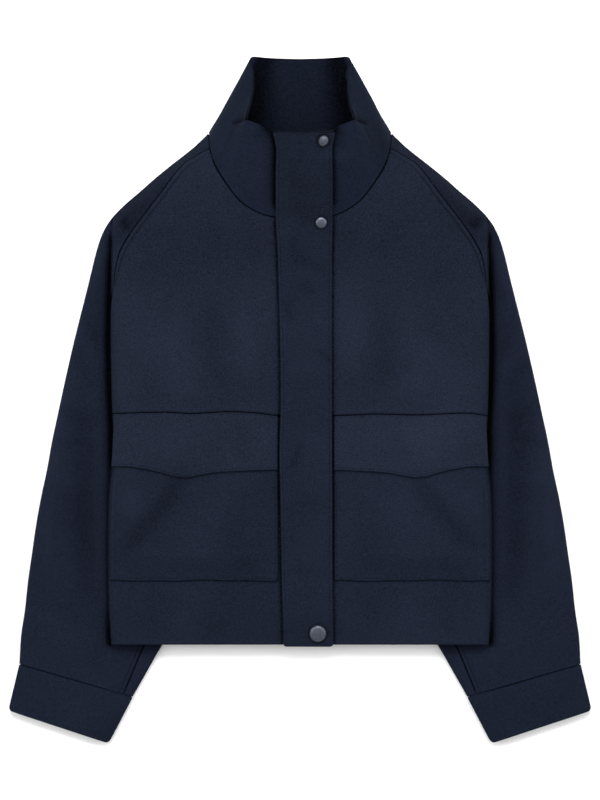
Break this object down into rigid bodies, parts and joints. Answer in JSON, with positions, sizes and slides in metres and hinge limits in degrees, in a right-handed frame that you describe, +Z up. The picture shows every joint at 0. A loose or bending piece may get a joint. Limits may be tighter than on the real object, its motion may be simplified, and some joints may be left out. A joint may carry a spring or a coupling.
{
  "type": "wool jacket",
  "caption": "Cropped navy wool jacket with funnel collar, storm placket, flapped patch pockets and raglan sleeves, laid flat on its back.",
  "frame": {"origin": "on the surface the jacket lies on, under the middle of its outline seen from above", "axes": "+Y from hem to collar, +X to the wearer's left (the viewer's right), +Z up from the surface"},
  "size_m": [0.697, 0.8228, 0.0757],
  "materials": {
    "wool": "matte navy wool twill",
    "gunmetal": "satin gunmetal"
  },
  "bodies": {
    "root": {"back": "wool", "front_upper_right": "wool", "front_upper_left": "wool", "front_lower_right": "wool", "front_lower_left": "wool", "pocket_right": "wool", "pocket_left": "wool", "flap_right": "wool", "flap_left": "wool", "sleeve_top_right": "wool", "sleeve_top_left": "wool", "sleeve_under_right": "wool", "sleeve_under_left": "wool", "cuff_right": "wool", "cuff_left": "wool", "collar": "wool", "placket": "wool", "snap_top": "gunmetal", "snap_neck": "gunmetal", "snap_hem": "gunmetal"}
  },
  "joints": []
}
